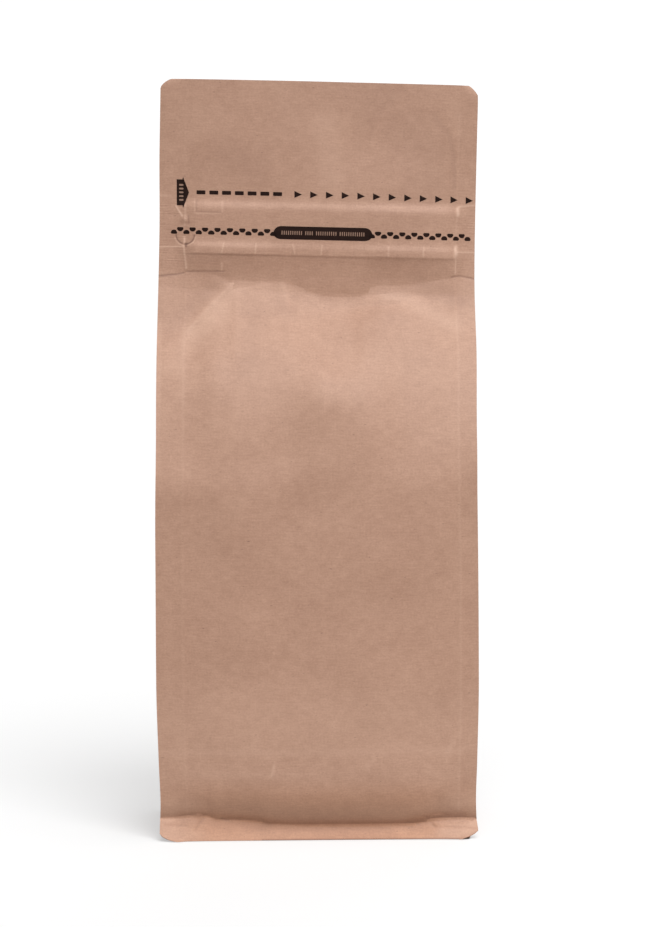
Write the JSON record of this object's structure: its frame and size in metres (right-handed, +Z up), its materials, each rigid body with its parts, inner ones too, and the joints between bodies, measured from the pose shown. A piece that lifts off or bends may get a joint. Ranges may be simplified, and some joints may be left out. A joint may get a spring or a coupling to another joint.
{
  "type": "flat-bottom kraft pouch",
  "caption": "Shut, filled stand-up pouch of kraft laminate with a flat base, side gussets, upright side seals and a pressed top with a tear-off strip and a press-to-close band.",
  "frame": {"origin": "under the middle of the pouch, on the surface it stands on", "axes": "+Z up, -Y out of the printed front, +X to the right as the front is seen"},
  "size_m": [0.1432, 0.0825, 0.3319],
  "materials": {
    "kraft": "matte kraft paper with a fine cross grain and a faint satin sheen",
    "ink": "dark brown flexographic ink, slightly satin, with the paper's grain showing through",
    "film": "pale inner film that shows at the cut edges of the webs"
  },
  "bodies": {
    "root": {"pouch": "kraft"}
  },
  "joints": []
}
